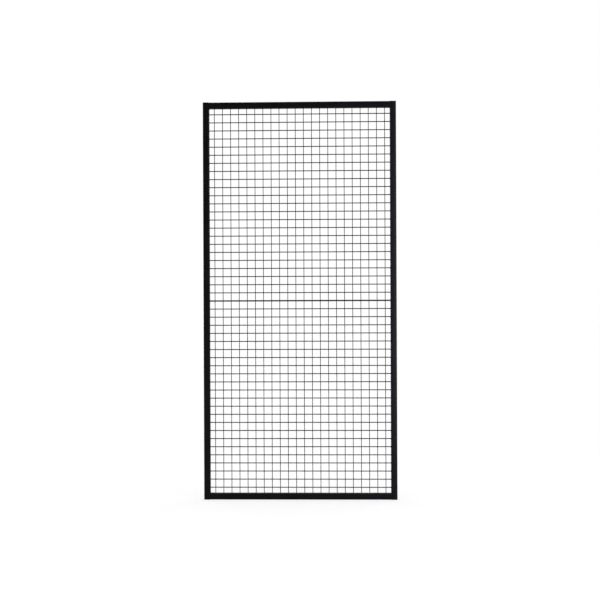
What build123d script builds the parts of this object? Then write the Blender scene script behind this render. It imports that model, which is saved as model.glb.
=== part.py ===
from build123d import *
import os

# Framed welded-mesh panel of a shop gondola. A frame of square steel tube, closed at the
# stile ends by plastic inserts, holds a square wire mesh with one thicker bar at half height.
#
# Millimetres. +X runs along the width and +Z is up. -Y is the display side, where hooks hang.
# The origin is the middle of the footprint, level with the underside of the two feet.

# Overall size
PANEL_WIDTH = 1190.0
PANEL_HEIGHT = 2450.0

# Square tube of the frame
TUBE_SIZE = 38.0
TUBE_WALL = 1.6
TUBE_OUTER_RADIUS = 2.5

# Welded mesh
MESH_PITCH = 50.0
COLUMN_DIAMETER = 4.5
ROW_DIAMETER = 6.0
MID_BAR_DIAMETER = 9.0
COLUMN_COUNT = 22
ROWS_PER_HALF = 23
ROWS_PER_NODE = 2

# Plastic inserts in the stile ends
CAP_FLANGE = 1.2
CAP_EDGE_RADIUS = 0.8
CAP_PLUG_SIZE = 31.0
CAP_PLUG_WALL = 2.0
CAP_PLUG_DEPTH = 20.0
CAP_RIB_THICKNESS = 1.2
CAP_RIB_PITCH = 5.5
CAP_RIB_COUNT = 3
CAP_RIB_CLEARANCE = 0.1
CAP_RIB_RADIUS = 1.2

# Worked out from the sizes above
TUBE_BORE = TUBE_SIZE - 2 * TUBE_WALL
TUBE_INNER_RADIUS = TUBE_OUTER_RADIUS - TUBE_WALL
STILE_LENGTH = PANEL_HEIGHT - 2 * CAP_FLANGE
STILE_X = (PANEL_WIDTH - TUBE_SIZE) / 2
OPENING_WIDTH = PANEL_WIDTH - 2 * TUBE_SIZE
OPENING_HEIGHT = STILE_LENGTH - 2 * TUBE_SIZE
MID_HEIGHT = PANEL_HEIGHT / 2
RAIL_OFFSET = (OPENING_HEIGHT + TUBE_SIZE) / 2


def upright(shape, x, y, z):
    """Moves a shape that stands along Z, from z = 0 up, to its foot at x, y, z."""
    return Pos(x, y, z) * shape


def lying(shape, length, y, z):
    """Turns a shape that stands along Z to lie along X, centred on the panel's width."""
    return Pos(-length / 2, y, z) * Rot(0, 90, 0) * shape


def square_ring(outer, outer_radius, inner, inner_radius):
    """Flat hollow square with rounded corners, centred on the origin."""
    return RectangleRounded(outer, outer, outer_radius) - RectangleRounded(inner, inner, inner_radius)


def tube(length):
    """Square tube that stands on z = 0."""
    return extrude(square_ring(TUBE_SIZE, TUBE_OUTER_RADIUS, TUBE_BORE, TUBE_INNER_RADIUS), length)


def rod(diameter, length):
    """Round wire or bar that stands on z = 0."""
    return extrude(Circle(diameter / 2), length)


def end_insert():
    """Flanged insert with its plug upwards: the flange's inner face is at z = 0."""
    flange = Pos(0, 0, -CAP_FLANGE) * extrude(
        RectangleRounded(TUBE_SIZE, TUBE_SIZE, TUBE_OUTER_RADIUS), CAP_FLANGE
    )
    flange = fillet(flange.faces().sort_by(Axis.Z)[0].edges(), CAP_EDGE_RADIUS)

    plug_bore = CAP_PLUG_SIZE - 2 * CAP_PLUG_WALL
    corner = CAP_RIB_RADIUS
    insert = flange + extrude(square_ring(CAP_PLUG_SIZE, corner, plug_bore, corner), CAP_PLUG_DEPTH)

    # Thin grip ribs around the plug, almost as wide as the tube's bore
    rib_size = TUBE_BORE - 2 * CAP_RIB_CLEARANCE
    rib = extrude(square_ring(rib_size, corner, plug_bore, corner), CAP_RIB_THICKNESS)
    for index in range(CAP_RIB_COUNT):
        insert += Pos(0, 0, CAP_RIB_PITCH * (index + 1)) * rib
    return insert


def frame_nodes():
    """Two full-height stiles, with the rails butted between them."""
    stile = tube(STILE_LENGTH)
    rail = tube(OPENING_WIDTH)
    return {
        "left_stile": upright(stile, -STILE_X, 0, CAP_FLANGE),
        "right_stile": upright(stile, STILE_X, 0, CAP_FLANGE),
        "bottom_rail": lying(rail, OPENING_WIDTH, 0, MID_HEIGHT - RAIL_OFFSET),
        "top_rail": lying(rail, OPENING_WIDTH, 0, MID_HEIGHT + RAIL_OFFSET),
    }


def insert_nodes():
    """The lower two inserts are the panel's feet, and the upper two close the stile tops."""
    foot = end_insert()
    cap = Rot(180, 0, 0) * foot
    top = PANEL_HEIGHT - CAP_FLANGE
    return {
        "bottom_left_foot": upright(foot, -STILE_X, 0, CAP_FLANGE),
        "bottom_right_foot": upright(foot, STILE_X, 0, CAP_FLANGE),
        "top_left_cap": upright(cap, -STILE_X, 0, top),
        "top_right_cap": upright(cap, STILE_X, 0, top),
    }


def column_nodes():
    """Vertical wires from left to right, behind the plane y = 0, from rail to rail."""
    wire = rod(COLUMN_DIAMETER, OPENING_HEIGHT)
    foot = MID_HEIGHT - OPENING_HEIGHT / 2
    first = -MESH_PITCH * (COLUMN_COUNT - 1) / 2
    return {
        f"column_wire_{index + 1:02d}": upright(
            wire, first + MESH_PITCH * index, COLUMN_DIAMETER / 2, foot
        )
        for index in range(COLUMN_COUNT)
    }


def row_nodes():
    """Horizontal wires in front of y = 0, numbered outwards from the mid bar in each half."""
    wire = rod(ROW_DIAMETER, OPENING_WIDTH)
    nodes = {}
    for half, way in (("upper", 1), ("lower", -1)):
        for first in range(1, ROWS_PER_HALF + 1, ROWS_PER_NODE):
            rows = range(first, min(first + ROWS_PER_NODE, ROWS_PER_HALF + 1))
            wires = [
                lying(wire, OPENING_WIDTH, -ROW_DIAMETER / 2, MID_HEIGHT + way * MESH_PITCH * row)
                for row in rows
            ]
            label = "_".join(f"{row:02d}" for row in rows)
            nodes[f"{half}_row_wires_{label}"] = Compound(children=wires)
    return nodes


def mid_bar_node():
    """Thicker bar at half height, in front of the columns like the rows."""
    bar = rod(MID_BAR_DIAMETER, OPENING_WIDTH)
    return {"mid_bar": lying(bar, OPENING_WIDTH, -MID_BAR_DIAMETER / 2, MID_HEIGHT)}


def main():
    nodes = {**frame_nodes(), **insert_nodes(), **column_nodes(), **row_nodes(), **mid_bar_node()}
    os.makedirs("parts", exist_ok=True)
    for name, shape in nodes.items():
        export_step(shape, f"parts/{name}.step")


main()
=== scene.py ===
# Framed mesh panel of a shop gondola, in metres. A finer mesh of the same size stands for every
# CAD node: coated tubes with welded corners, a welded wire mesh, and moulded plastic inserts.

import math
import random

import bmesh
import bpy
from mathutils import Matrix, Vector, noise


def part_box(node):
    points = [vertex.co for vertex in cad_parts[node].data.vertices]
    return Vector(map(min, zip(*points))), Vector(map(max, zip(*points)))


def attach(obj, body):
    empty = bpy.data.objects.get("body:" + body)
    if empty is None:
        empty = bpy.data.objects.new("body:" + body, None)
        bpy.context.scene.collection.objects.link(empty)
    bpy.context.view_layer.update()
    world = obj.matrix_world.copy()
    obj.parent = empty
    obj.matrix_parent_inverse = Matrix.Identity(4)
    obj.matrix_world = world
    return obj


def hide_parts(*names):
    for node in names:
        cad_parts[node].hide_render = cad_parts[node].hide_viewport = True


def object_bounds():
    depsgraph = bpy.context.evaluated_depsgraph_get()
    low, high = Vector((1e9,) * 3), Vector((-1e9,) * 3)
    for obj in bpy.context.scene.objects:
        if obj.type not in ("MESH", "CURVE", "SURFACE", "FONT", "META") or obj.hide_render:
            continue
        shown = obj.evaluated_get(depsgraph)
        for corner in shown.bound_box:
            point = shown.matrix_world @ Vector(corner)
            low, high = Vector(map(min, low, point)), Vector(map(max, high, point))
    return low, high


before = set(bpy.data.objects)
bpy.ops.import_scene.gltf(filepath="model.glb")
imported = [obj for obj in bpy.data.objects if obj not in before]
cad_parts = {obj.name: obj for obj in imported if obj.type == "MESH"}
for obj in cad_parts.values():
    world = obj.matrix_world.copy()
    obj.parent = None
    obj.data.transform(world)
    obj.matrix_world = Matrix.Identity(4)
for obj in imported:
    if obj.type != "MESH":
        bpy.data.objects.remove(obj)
cad_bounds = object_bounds()

MM = 0.001
random.seed(4711)

# Sizes that the frame's boxes don't give, as in the CAD model
TUBE_WALL = 1.6 * MM
TUBE_OUTER_RADIUS = 2.5 * MM
CAP_PLUG_HALF = 15.5 * MM
CAP_PLUG_WALL = 2.0 * MM
CAP_PLUG_DEPTH = 20.0 * MM
CAP_RIB_HALF = 17.3 * MM
CAP_RIB_THICKNESS = 1.2 * MM
CAP_RIB_PITCH = 5.5 * MM
CAP_RIB_COUNT = 3

# Fineness of the meshes
CORNER_STEPS = 8
WIRE_SIDES = 20
NUGGET_SIDES = 12
BEAD_SIDES = 16
FILLET_STEPS = 6
STATION_PITCH = 60 * MM
SHARP_ANGLE = math.radians(40)

# Tube ends, and the welds in a corner of the frame
DEBURR = 0.35 * MM
RIPPLE_PITCH = 2.3 * MM
RIPPLE_STEP = 0.6 * MM
FILLET_LEG = 2.2 * MM
FILLET_BITE = 0.5 * MM
FILLET_RUN_OUT = 3 * MM

# Ground seam, which fills the groove beside the stile's rounded edge. Distances are across from the
# joint, and out from the face, so that negative ones are inside the steel.
SEAM_LEFT = -2.7 * MM
SEAM_RIGHT = 0.5 * MM
SEAM_ROOT = (-1.3 * MM, -2.2 * MM)
SEAM_FLANK = -0.5 * MM
SEAM_EDGE = -0.03 * MM
SEAM_DEPTH = 0.25 * MM
SEAM_STOP = 0.4 * MM

# Weld collar of a wire's end: height over the tube's face in mm, and reach in wire radii. Its lumps
# are counted per metre, and swell it by up to a share of its reach.
BEAD_PROFILE = (
    (-0.25, 0.35), (-0.25, 1.72), (0.35, 1.70), (1.1, 1.48), (1.9, 1.22), (2.6, 1.06), (2.8, 0.9),
)
BEAD_LUMPS = 420
BEAD_SWELL = 0.13

# Weld nugget of a crossing: distance from the plane y = 0 in mm, and share of the nugget's reach.
# Between the wires a web adds a share to it, down to nothing at the web's height, in mm. The mid
# bar's nuggets are larger by a factor.
NUGGET_PROFILE = ((-1.35, 0.52), (-0.85, 0.86), (0.0, 1.0), (0.85, 0.86), (1.35, 0.52))
NUGGET_REACH = 2.8 * MM
NUGGET_WEB = 0.42
NUGGET_WEB_HEIGHT = 2.2
MID_BAR_NUGGET = 1.18

# Flange of a plastic insert. Its crown is given as reach from the middle and drop, both in mm, and
# its faces close on an innermost square.
FLANGE_CROWN_STEPS = ((6, 0.01), (11, 0.05), (15.2, 0.12))
FLANGE_CROWN = 0.16 * MM
FLANGE_SOFT_EDGE = 0.65 * MM
FLANGE_EDGE_STEPS = 5
FLANGE_CHAMFER = 0.15 * MM
INNERMOST = 0.4 * MM

COLUMN_NODES = sorted(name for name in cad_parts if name.startswith("column_wire"))
ROW_NODES = sorted(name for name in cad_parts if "_row_wires_" in name)
CAP_NODES = sorted(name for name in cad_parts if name.endswith(("_cap", "_foot")))


# ---------------------------------------------------------------- meshes


class Shells:
    """Closed shells that make up one piece, and how rubbed each of their points is."""

    def __init__(self):
        self.points = []
        self.faces = []
        self.rubbed = []

    def loft(self, rings, rubbed=None, closed=False):
        """Joins rings of equally many points. The end rings are filled, unless they join."""
        first, count, turns = len(self.points), len(rings[0]), len(rings)
        for index, ring in enumerate(rings):
            self.points += ring
            self.rubbed += rubbed[index] if rubbed else [0.0] * count
        for index in range(turns if closed else turns - 1):
            here = first + index * count
            there = first + (index + 1) % turns * count
            for side in range(count):
                after = (side + 1) % count
                self.faces.append((here + side, here + after, there + after, there + side))
        if not closed:
            last = first + (turns - 1) * count
            self.faces.append(tuple(range(first + count - 1, first - 1, -1)))
            self.faces.append(tuple(range(last, last + count)))

    def piece(self, name, material, slot, *stands_for):
        """Makes the mesh object, which rides on the only body."""
        mesh = bpy.data.meshes.new(name)
        mesh.from_pydata(self.points, [], self.faces)
        work = bmesh.new()
        work.from_mesh(mesh)
        bmesh.ops.recalc_face_normals(work, faces=work.faces)
        work.to_mesh(mesh)
        work.free()
        mesh.shade_smooth()
        mesh.set_sharp_from_angle(angle=SHARP_ANGLE)
        mesh.attributes.new("rubbed", "FLOAT", "POINT").data.foreach_set("value", self.rubbed)
        mesh.materials.append(material)
        made = bpy.data.objects.new(name, mesh)
        bpy.context.scene.collection.objects.link(made)
        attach(made, "root")
        if stands_for:
            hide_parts(*stands_for)


def place(run, across_1, across_2, along):
    """A point along a run: 'Z' has across = x, y, and 'X' has across = y, z."""
    return (across_1, across_2, along) if run == "Z" else (along, across_1, across_2)


def stations(low, high, pitch):
    """Evenly spaced stops from low to high, about a pitch apart."""
    count = max(1, round((high - low) / pitch))
    return [low + (high - low) * index / count for index in range(count + 1)]


def circle(radius, sides):
    """Outline of a circle, around the origin."""
    turn = 2 * math.pi / sides
    return [(radius * math.cos(turn * side), radius * math.sin(turn * side)) for side in range(sides)]


def rounded_square(half, radius):
    """Outline of a square with rounded corners, and how near each point is to a corner's middle."""
    outline, corner = [], []
    for quarter in range(4):
        start = quarter * math.pi / 2
        middle = start + math.pi / 4
        centre_1 = math.copysign(half - radius, math.cos(middle))
        centre_2 = math.copysign(half - radius, math.sin(middle))
        for step in range(CORNER_STEPS + 1):
            angle = start + math.pi / 2 * step / CORNER_STEPS
            outline.append((centre_1 + radius * math.cos(angle), centre_2 + radius * math.sin(angle)))
            corner.append(math.sin(math.pi * step / CORNER_STEPS))
    return outline, corner


def ring(run, outline, centre, along):
    """An outline put across a run, around its centre and at a place along it."""
    return [place(run, centre[0] + one, centre[1] + two, along) for one, two in outline]


def run_of(node):
    """Which way a long node runs, its centre across the run, its half width and its two ends."""
    low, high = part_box(node)
    middle = (low + high) / 2
    if high.z - low.z > high.x - low.x:
        return "Z", (middle.x, middle.y), (high.y - low.y) / 2, (low.z, high.z)
    return "X", (middle.y, middle.z), (high.y - low.y) / 2, (low.x, high.x)


def row_heights(node):
    """Heights of the wires that one row node holds."""
    low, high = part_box(node)
    radius = (high.y - low.y) / 2
    return sorted({round(low.z + radius, 5), round(high.z - radius, 5)})


# ---------------------------------------------------------------- parts of a welded frame


def tube(shells, run, centre, half, ends):
    """Square tube with rounded edges, open inside, its ends deburred."""
    outer, corner = rounded_square(half, TUBE_OUTER_RADIUS)
    deburred, _ = rounded_square(half - DEBURR, TUBE_OUTER_RADIUS - DEBURR)
    bore, _ = rounded_square(half - TUBE_WALL, TUBE_OUTER_RADIUS - TUBE_WALL)
    low, high = ends
    stops = stations(low + DEBURR, high - DEBURR, STATION_PITCH)
    rings = [ring(run, outer, centre, along) for along in stops]
    rubbed = [corner for _ in stops]
    for outline, along in ((deburred, high), (bore, high), (bore, low), (deburred, low)):
        rings.append(ring(run, outline, centre, along))
        rubbed.append([0.0] * len(outline))
    shells.loft(rings, rubbed, closed=True)


def rod(shells, run, centre, radius, ends):
    """Round wire or bar from end to end."""
    outline = circle(radius, WIRE_SIDES)
    shells.loft([ring(run, outline, centre, along) for along in stations(*ends, STATION_PITCH)])


def end_bead(shells, run, centre, radius, face, way):
    """Weld collar where a wire meets the tube's face, which `way` says is before or behind it."""
    # Far apart in the noise, so that every collar has lumps of its own
    seed = Vector((centre[0], centre[1], face)) * 97
    rings = []
    for height, share in BEAD_PROFILE:
        outline = []
        for one, two in circle(radius * share, BEAD_SIDES):
            lump = noise.noise(seed + Vector((one, two, height * MM)) * BEAD_LUMPS)
            swell = 1 + (BEAD_SWELL * lump if share > 1.0 else 0.0)
            outline.append((one * swell, two * swell))
        rings.append(ring(run, outline, centre, face + way * height * MM))
    shells.loft(rings)


def welded_rod(shells, run, centre, radius, ends):
    """Round wire or bar with a weld collar at each end."""
    rod(shells, run, centre, radius, ends)
    end_bead(shells, run, centre, radius, ends[0], 1)
    end_bead(shells, run, centre, radius, ends[1], -1)


def nugget(shells, x, z, size):
    """Weld between a column and a row that touch at y = 0: a low pad with a web in each corner."""
    tilt = random.uniform(-0.12, 0.12)
    swell = size * random.uniform(0.94, 1.08)
    rings = []
    for height, share in NUGGET_PROFILE:
        outline = []
        for side in range(NUGGET_SIDES):
            angle = 2 * math.pi * side / NUGGET_SIDES
            reach = 1.0 + NUGGET_WEB * abs(math.sin(2 * angle)) * (1 - abs(height) / NUGGET_WEB_HEIGHT)
            reach *= swell * share * NUGGET_REACH
            outline.append((reach * math.cos(angle + tilt), reach * math.sin(angle + tilt)))
        rings.append([(x + one, height * size * MM, z + two) for one, two in outline])
    shells.loft(rings)


def corner_fillet(shells, x, z, way_x, way_z, reach_y):
    """Rippled fillet weld along Y in the inner corner at x, z, which opens towards way_x, way_z."""
    rings = []
    for y in stations(-reach_y, reach_y, RIPPLE_STEP):
        lump = noise.noise(Vector((x * 60, y * 260, z * 60)))
        leg = FILLET_LEG * (0.93 + 0.1 * abs(math.sin(math.pi * y / RIPPLE_PITCH)) + 0.09 * lump)
        # Thinner where it starts and stops
        leg *= min(1.0, 0.45 + (reach_y - abs(y)) / FILLET_RUN_OUT)
        section = [(-FILLET_BITE, -FILLET_BITE), (leg, -FILLET_BITE)]
        for step in range(FILLET_STEPS + 1):
            angle = math.pi / 2 * step / FILLET_STEPS
            bulge = 0.80 + 0.20 * abs(math.cos(2 * angle))
            section.append((leg * math.cos(angle) * bulge, leg * math.sin(angle) * bulge))
        section.append((-FILLET_BITE, leg))
        rings.append([(x + way_x * one, y, z + way_z * two) for one, two in section])
    shells.loft(rings)


def face_seam(shells, x, way_x, face_y, ends):
    """Weld ground flush in the groove beside a stile's rounded edge, on the front or back face."""
    out = math.copysign(1.0, face_y)
    rings = []
    for z in stations(ends[0] + SEAM_STOP, ends[1] - SEAM_STOP, RIPPLE_STEP):
        lump = noise.noise(Vector((x * 40, face_y * 40, z * 330)))
        ripple = abs(math.sin(math.pi * z / RIPPLE_PITCH))
        depth = SEAM_DEPTH * (1.1 - 0.5 * ripple + 0.5 * lump)
        left = SEAM_LEFT * (1 + 0.08 * lump)
        section = [(left, SEAM_FLANK), SEAM_ROOT, (SEAM_RIGHT, SEAM_FLANK), (SEAM_RIGHT, SEAM_EDGE)]
        for share in (0.75, 0.5, 0.25):
            spot = left + (SEAM_RIGHT - left) * share
            section.append((spot, -depth * math.sin(math.pi * share)))
        section.append((left, SEAM_EDGE))
        rings.append([(x + way_x * one, face_y + out * two, z) for one, two in section])
    shells.loft(rings)


def insert(shells, centre, half, flange, way, inner_face):
    """Flanged end insert. Its flange lies `way` of the inner face, and its plug the other way."""
    profile = [(INNERMOST, flange)]
    profile += [(reach * MM, flange - drop * MM) for reach, drop in FLANGE_CROWN_STEPS]
    inward = FLANGE_SOFT_EDGE * 0.9
    profile.append((half - inward, flange - FLANGE_CROWN))
    for step in range(1, FLANGE_EDGE_STEPS + 1):
        angle = math.pi / 2 * step / FLANGE_EDGE_STEPS
        drop = FLANGE_CROWN + FLANGE_SOFT_EDGE * (1 - math.cos(angle))
        profile.append((half - inward * (1 - math.sin(angle)), flange - drop))
    profile += [(half, FLANGE_CHAMFER), (half - FLANGE_CHAMFER, 0.0), (CAP_PLUG_HALF, 0.0)]
    for rib in range(1, CAP_RIB_COUNT + 1):
        top = -rib * CAP_RIB_PITCH
        bottom = top - CAP_RIB_THICKNESS
        profile += [(CAP_PLUG_HALF, top), (CAP_RIB_HALF, top), (CAP_RIB_HALF, bottom)]
        profile.append((CAP_PLUG_HALF, bottom))
    bore = CAP_PLUG_HALF - CAP_PLUG_WALL
    profile += [(CAP_PLUG_HALF, -CAP_PLUG_DEPTH), (bore, -CAP_PLUG_DEPTH), (bore, 0.0), (INNERMOST, 0.0)]
    rings, rubbed = [], []
    for reach, height in profile:
        outline, corner = rounded_square(reach, min(TUBE_OUTER_RADIUS, reach * 0.9))
        rings.append(ring("Z", outline, centre, inner_face + way * height))
        # Only the flange's outer edge is rubbed, and most of all at its corners
        edge = height > 0.3 * MM and reach > half - 2 * MM
        rubbed.append([0.35 + 0.65 * share if edge else 0.0 for share in corner])
    shells.loft(rings, rubbed)


# ---------------------------------------------------------------- materials


# Colours, in linear light
RUBBED_COAT = (0.060, 0.061, 0.064, 1)
SCUFF = (0.040, 0.041, 0.044, 1)
DUST = (0.115, 0.110, 0.102, 1)
PLASTIC_DARK = (0.0125, 0.0125, 0.0130, 1)
PLASTIC_LIGHT = (0.0210, 0.0210, 0.0215, 1)
RUBBED_PLASTIC = (0.052, 0.052, 0.053, 1)
PAPER_DARK = (0.49, 0.49, 0.49, 1)
PAPER_LIGHT = (0.50, 0.50, 0.50, 1)


class Tree:
    """A material's nodes, added by type and wired by name."""

    def __init__(self, name):
        self.material = bpy.data.materials.new(name)
        self.material.use_nodes = True
        self.nodes = self.material.node_tree.nodes
        self.links = self.material.node_tree.links
        self.surface = self.nodes["Principled BSDF"]

    def add(self, kind, inputs=None, **settings):
        """Adds a node, with values or other nodes' outputs for its inputs."""
        node = self.nodes.new(kind)
        for name, value in settings.items():
            setattr(node, name, value)
        for name, value in (inputs or {}).items():
            self.feed(node.inputs[name], value)
        return node

    def feed(self, socket, value):
        if isinstance(value, bpy.types.NodeSocket):
            self.links.new(value, socket)
        else:
            socket.default_value = value

    def noise(self, vector, scale, detail, roughness):
        """Soft noise, mostly from 0.3 to 0.7. On object coordinates its scale is lumps per metre."""
        node = self.add("ShaderNodeTexNoise", {
            "Vector": vector, "Scale": scale, "Detail": detail, "Roughness": roughness})
        return node.outputs["Fac"]

    def remap(self, value, low, high, to_low=0.0, to_high=1.0):
        node = self.add("ShaderNodeMapRange", {
            "Value": value, "From Min": low, "From Max": high, "To Min": to_low, "To Max": to_high})
        return node.outputs["Result"]

    def times(self, one, two):
        node = self.add("ShaderNodeMath", operation="MULTIPLY")
        self.feed(node.inputs[0], one)
        self.feed(node.inputs[1], two)
        return node.outputs[0]

    def plus(self, one, two):
        node = self.add("ShaderNodeMath", operation="ADD")
        self.feed(node.inputs[0], one)
        self.feed(node.inputs[1], two)
        return node.outputs[0]

    def blend(self, share, one, two):
        node = self.add("ShaderNodeMix", data_type="RGBA")
        self.feed(node.inputs[0], share)
        self.feed(node.inputs[6], one)
        self.feed(node.inputs[7], two)
        return node.outputs[2]

    def bump(self, height, strength, distance, under=None):
        node = self.add("ShaderNodeBump", {
            "Height": height, "Strength": strength, "Distance": distance})
        if under:
            self.links.new(under, node.inputs["Normal"])
        return node.outputs["Normal"]

    def set(self, **inputs):
        """Sets or wires inputs of the surface shader, whose names have _ for a space."""
        for name, value in inputs.items():
            self.feed(self.surface.inputs[name.replace("_", " ")], value)


def dust_share(tree, places, most):
    """Thin dust on what faces up, in soft patches."""
    normal = tree.add("ShaderNodeNewGeometry").outputs["Normal"]
    height = tree.add("ShaderNodeSeparateXYZ", {"Vector": normal}).outputs["Z"]
    facing_up = tree.remap(height, 0.55, 1.0)
    patches = tree.remap(tree.noise(places, 45, 5, 0.62), 0.35, 0.72, 0.35, 1.0)
    return tree.times(tree.times(facing_up, patches), most)


def powder_coat(name, dark, light, peel_size, rubbed_most, dust_most):
    """Semi-gloss black polyester powder coat on steel."""
    tree = Tree(name)
    places = tree.add("ShaderNodeTexCoord").outputs["Object"]

    drift = tree.remap(tree.noise(places, 2.6, 5, 0.6), 0.3, 0.7)
    colour = tree.blend(drift, (*dark, 1), (*light, 1))

    edges = tree.add("ShaderNodeAttribute", attribute_name="rubbed").outputs["Fac"]
    chips = tree.remap(tree.noise(places, 75, 7, 0.66), 0.56, 0.68)
    rubbed = tree.times(tree.times(edges, chips), rubbed_most)
    colour = tree.blend(rubbed, colour, RUBBED_COAT)

    # Hairline scuffs run both ways along the members
    lengthwise = tree.add("ShaderNodeMapping", {"Vector": places, "Scale": (420, 420, 7)})
    crosswise = tree.add("ShaderNodeMapping", {"Vector": places, "Scale": (7, 420, 420)})
    scuff_1 = tree.remap(tree.noise(lengthwise.outputs[0], 1, 3, 0.5), 0.66, 0.74)
    scuff_2 = tree.remap(tree.noise(crosswise.outputs[0], 1, 3, 0.5), 0.67, 0.75)
    area = tree.remap(tree.noise(places, 6, 3, 0.5), 0.48, 0.64)
    scuffs = tree.times(tree.plus(scuff_1, scuff_2), area)
    colour = tree.blend(tree.times(scuffs, 0.35), colour, SCUFF)

    dust = dust_share(tree, places, dust_most)
    colour = tree.blend(dust, colour, DUST)

    # Roughness, and what wear and dust add to it
    rough = tree.remap(tree.noise(places, 9, 6, 0.6), 0.3, 0.7, 0.29, 0.39)
    rough = tree.plus(rough, tree.times(rubbed, 0.16))
    rough = tree.plus(rough, tree.times(scuffs, 0.10))
    rough = tree.plus(rough, tree.times(dust, 0.45))

    # Orange peel, with a finer grain on it
    peel = tree.bump(tree.noise(places, 1 / peel_size, 2, 0.45), 0.42, 0.09 * MM)
    grain = tree.bump(tree.noise(places, 5.2 / peel_size, 2, 0.5), 0.22, 0.025 * MM, peel)

    tree.set(Base_Color=colour, Roughness=rough, Normal=grain)
    tree.set(IOR=1.5, Specular_IOR_Level=0.5)
    return tree.material


def moulded_plastic(name):
    """Matt black polyethylene with a fine spark-eroded grain."""
    tree = Tree(name)
    places = tree.add("ShaderNodeTexCoord").outputs["Object"]
    drift = tree.remap(tree.noise(places, 28, 5, 0.6), 0.3, 0.7)
    colour = tree.blend(drift, PLASTIC_DARK, PLASTIC_LIGHT)
    edges = tree.add("ShaderNodeAttribute", attribute_name="rubbed").outputs["Fac"]
    rubs = tree.remap(tree.noise(places, 260, 5, 0.6), 0.42, 0.62)
    rubbed = tree.times(edges, rubs)
    colour = tree.blend(tree.times(rubbed, 0.55), colour, RUBBED_PLASTIC)
    dust = dust_share(tree, places, 0.30)
    colour = tree.blend(dust, colour, DUST)
    rough = tree.remap(tree.noise(places, 90, 5, 0.6), 0.3, 0.7, 0.50, 0.66)
    rough = tree.plus(rough, tree.times(dust, 0.3))
    grain = tree.bump(tree.noise(places, 2600, 3, 0.6), 0.5, 0.05 * MM)
    tree.set(Base_Color=colour, Roughness=rough, Normal=grain)
    tree.set(IOR=1.5, Specular_IOR_Level=0.4)
    return tree.material


FRAME_COAT = powder_coat("frame_coat", dark=(0.0085, 0.0085, 0.0100), light=(0.0130, 0.0130, 0.0155),
                         peel_size=1.9 * MM, rubbed_most=0.75, dust_most=0.42)
WIRE_COAT = powder_coat("wire_coat", dark=(0.0070, 0.0070, 0.0080), light=(0.0110, 0.0110, 0.0125),
                        peel_size=1.1 * MM, rubbed_most=0.0, dust_most=0.30)
PLASTIC = moulded_plastic("insert_plastic")


# ---------------------------------------------------------------- the panel


def make_frame():
    """Stiles and rails, each in place of its CAD node."""
    for node in ("left_stile", "right_stile", "top_rail", "bottom_rail"):
        shells = Shells()
        tube(shells, *run_of(node))
        shells.piece(f"{node}_coated", FRAME_COAT, "frame_powder_coat", node)


def make_corner_welds():
    """At each corner a fillet inside the opening, and a ground seam on the front and back."""
    for stile, way_x in (("left_stile", 1), ("right_stile", -1)):
        stile_low, stile_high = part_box(stile)
        x = stile_high.x if way_x > 0 else stile_low.x
        for rail, way_z in (("bottom_rail", 1), ("top_rail", -1)):
            low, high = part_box(rail)
            z = high.z if way_z > 0 else low.z
            shells = Shells()
            corner_fillet(shells, x, z, way_x, way_z, high.y - TUBE_OUTER_RADIUS)
            for face_y in (low.y, high.y):
                face_seam(shells, x, way_x, face_y, (low.z, high.z))
            name = f"weld_{rail.split('_')[0]}_{stile.split('_')[0]}"
            shells.piece(name, FRAME_COAT, "frame_powder_coat")


def make_inserts():
    """Feet and caps in the stile ends."""
    for node in CAP_NODES:
        low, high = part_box(node)
        stile_low, stile_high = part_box("left_stile" if "left" in node else "right_stile")
        is_foot = node.endswith("_foot")
        way = -1 if is_foot else 1
        inner_face = stile_low.z if is_foot else stile_high.z
        flange = inner_face - low.z if is_foot else high.z - inner_face
        middle = (low + high) / 2
        shells = Shells()
        insert(shells, (middle.x, middle.y), (high.x - low.x) / 2, flange, way, inner_face)
        shells.piece(f"{node}_moulded", PLASTIC, "black_plastic", node)


def make_mesh():
    """Rows, the mid bar and the columns, with a nugget at every crossing and a bead at every end."""
    crossings = []
    for node in ROW_NODES:
        run, (y, _), radius, ends = run_of(node)
        shells = Shells()
        for z in row_heights(node):
            welded_rod(shells, run, (y, z), radius, ends)
            crossings.append((z, 1.0))
        shells.piece(f"{node}_coated", WIRE_COAT, "wire_powder_coat", node)

    run, centre, radius, ends = run_of("mid_bar")
    shells = Shells()
    welded_rod(shells, run, centre, radius, ends)
    shells.piece("mid_bar_coated", WIRE_COAT, "wire_powder_coat", "mid_bar")
    crossings.append((centre[1], MID_BAR_NUGGET))

    for node in COLUMN_NODES:
        run, centre, radius, ends = run_of(node)
        shells = Shells()
        welded_rod(shells, run, centre, radius, ends)
        for z, size in crossings:
            nugget(shells, centre[0], z, size)
        shells.piece(f"{node}_coated", WIRE_COAT, "wire_powder_coat", node)


# ---------------------------------------------------------------- studio

# To the camera the floor is pale paper with a glow that makes it white. To other rays it is darker,
# and doesn't glow.
FLOOR_RADIUS = 60.0
FLOOR_SIDES = 96
FLOOR_GLOW = 0.673
FLOOR_BOUNCE = (0.22, 0.22, 0.24, 1)

# Radiance of the backdrop, and of the studio where no wall or ceiling is lit
BACKDROP = 1.005
DARK_STUDIO = 0.015

# Lit side walls and ceiling: how far sideways or up they start and are full, and their radiance
SIDE_PANELS = (0.80, 0.96, 1.5)
CEILING = (0.75, 0.96, 1.9)

# Strip light at the front right
KEY_PLACE = (1.7, -3.2, 1.25)
KEY_WIDTH = 0.9
KEY_HEIGHT = 2.8
KEY_WATTS = 21
KEY_TINT = (0.74, 0.75, 1.0)

# Far lights: azimuth, elevation and spread in degrees, and strength
FAR_LIGHTS = {
    "fill_left": (306, 14, 20, 0.05),
    "back_left": (221, 16, 24, 0.40),
    "back_right": (137, 16, 24, 0.40),
}

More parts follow.
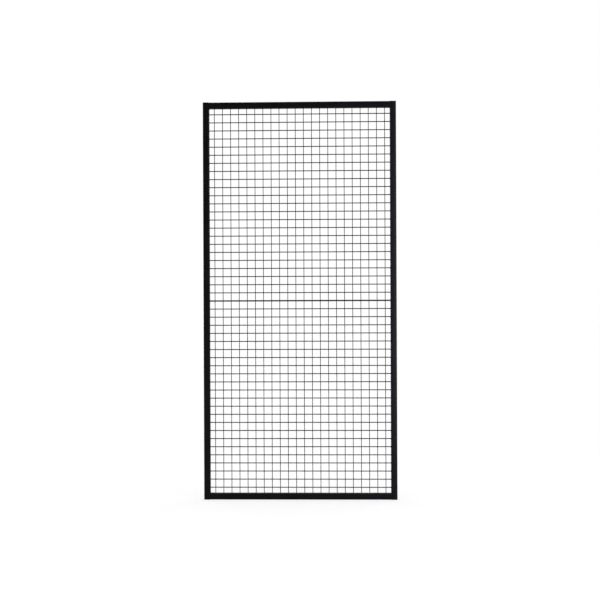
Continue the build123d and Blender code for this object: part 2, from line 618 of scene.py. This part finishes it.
# The camera aims a little off the panel's middle
CAMERA_DISTANCE = 8.0
CAMERA_AZIMUTH = math.radians(1.92)
CAMERA_ROLL = math.radians(0.226)
CAMERA_LENS = 77.85
CAMERA_CLIP_END = 200.0
AIM_OFFSET = Vector((0.0002, 0.0, 0.0041))


def make_floor():
    """Pale floor that reads as white to the camera, takes a soft shadow and returns little light."""
    outline = circle(FLOOR_RADIUS, FLOOR_SIDES)
    mesh = bpy.data.meshes.new("floor")
    mesh.from_pydata([(one, two, 0.0) for one, two in outline], [], [tuple(range(FLOOR_SIDES))])
    tree = Tree("floor_paper")
    places = tree.add("ShaderNodeTexCoord").outputs["Object"]
    shade = tree.remap(tree.noise(places, 1.5, 4, 0.5), 0.3, 0.7)
    paper = tree.blend(shade, PAPER_DARK, PAPER_LIGHT)
    seen = tree.add("ShaderNodeLightPath").outputs["Is Camera Ray"]
    tree.set(Base_Color=tree.blend(seen, FLOOR_BOUNCE, paper), Roughness=0.95)
    tree.set(Specular_IOR_Level=0.0, Emission_Color=(1, 1, 1, 1))
    tree.set(Emission_Strength=tree.times(seen, FLOOR_GLOW))
    mesh.materials.append(tree.material)
    floor = bpy.data.objects.new("floor", mesh)
    bpy.context.scene.collection.objects.link(floor)


def make_world():
    """White backdrop behind the object, and a dark studio with a lit ceiling and lit side walls."""
    world = bpy.data.worlds.new("studio")
    world.use_nodes = True
    nodes, links = world.node_tree.nodes, world.node_tree.links

    def math_node(operation, *values):
        """One step of arithmetic on values or other nodes' outputs."""
        node = nodes.new("ShaderNodeMath")
        node.operation = operation
        for socket, value in zip(node.inputs, values):
            if isinstance(value, bpy.types.NodeSocket):
                links.new(value, socket)
            else:
                socket.default_value = value
        return node.outputs[0]

    def panel(how_far, start, full, radiance):
        """Light that rises smoothly from start to full."""
        ramp = nodes.new("ShaderNodeMapRange")
        ramp.interpolation_type = "SMOOTHSTEP"
        links.new(how_far, ramp.inputs["Value"])
        ramp.inputs["From Min"].default_value = start
        ramp.inputs["From Max"].default_value = full
        ramp.inputs["To Max"].default_value = radiance
        return ramp.outputs["Result"]

    way = nodes.new("ShaderNodeSeparateXYZ")
    links.new(nodes.new("ShaderNodeTexCoord").outputs["Generated"], way.inputs["Vector"])
    sides = panel(math_node("ABSOLUTE", way.outputs["X"]), *SIDE_PANELS)
    ceiling = panel(way.outputs["Z"], *CEILING)
    light = math_node("ADD", math_node("ADD", sides, ceiling), DARK_STUDIO)

    studio = nodes["Background"]
    studio.inputs["Color"].default_value = (1, 1, 1, 1)
    links.new(light, studio.inputs["Strength"])
    backdrop = nodes.new("ShaderNodeBackground")
    backdrop.inputs["Color"].default_value = (1, 1, 1, 1)
    backdrop.inputs["Strength"].default_value = BACKDROP
    mix = nodes.new("ShaderNodeMixShader")
    links.new(nodes.new("ShaderNodeLightPath").outputs["Is Camera Ray"], mix.inputs["Fac"])
    links.new(studio.outputs[0], mix.inputs[1])
    links.new(backdrop.outputs[0], mix.inputs[2])
    links.new(mix.outputs[0], nodes["World Output"].inputs["Surface"])
    bpy.context.scene.world = world


def distant_light(name, azimuth, elevation, spread, strength):
    """Large far white light. Azimuth 0 degrees is on the display side, and 90 to the right."""
    turn, rise = math.radians(azimuth), math.radians(elevation)
    towards = Vector((math.sin(turn) * math.cos(rise), -math.cos(turn) * math.cos(rise), math.sin(rise)))
    light = bpy.data.lights.new(name, "SUN")
    light.energy, light.angle = strength, math.radians(spread)
    lamp = bpy.data.objects.new(name, light)
    bpy.context.scene.collection.objects.link(lamp)
    lamp.rotation_euler = towards.to_track_quat("Z", "Y").to_euler()


def strip_light(name, place_at, aim_at, width, height, watts, tint):
    """Upright studio strip that the camera can't see."""
    light = bpy.data.lights.new(name, "AREA")
    light.shape, light.size, light.size_y = "RECTANGLE", width, height
    light.energy, light.color = watts, tint
    lamp = bpy.data.objects.new(name, light)
    bpy.context.scene.collection.objects.link(lamp)
    lamp.location = place_at
    lamp.rotation_euler = (Vector(aim_at) - Vector(place_at)).to_track_quat("-Z", "Y").to_euler()
    lamp.visible_camera = False


def make_lights():
    """A cool strip at the front right, and weak fills from the left and from behind."""
    for name, settings in FAR_LIGHTS.items():
        distant_light(name, *settings)
    low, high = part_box("right_stile")
    middle = (low + high) / 2
    strip_light("key_right", KEY_PLACE, middle, KEY_WIDTH, KEY_HEIGHT, KEY_WATTS, KEY_TINT)


def make_camera():
    """Camera as high as the panel's middle, and a little to the right of it."""
    low, high = cad_bounds
    target = (low + high) / 2 + AIM_OFFSET
    away = Vector((math.sin(CAMERA_AZIMUTH), -math.cos(CAMERA_AZIMUTH), 0))
    data = bpy.data.cameras.new("camera")
    data.lens, data.clip_end = CAMERA_LENS, CAMERA_CLIP_END
    camera = bpy.data.objects.new("camera", data)
    bpy.context.scene.collection.objects.link(camera)
    camera.location = target + away * CAMERA_DISTANCE
    camera.rotation_euler = (math.radians(90), CAMERA_ROLL, CAMERA_AZIMUTH)
    bpy.context.scene.camera = camera


make_frame()
make_corner_welds()
make_inserts()
make_mesh()
make_floor()
make_world()
make_lights()
make_camera()
bpy.context.scene.view_settings.view_transform = "Standard"
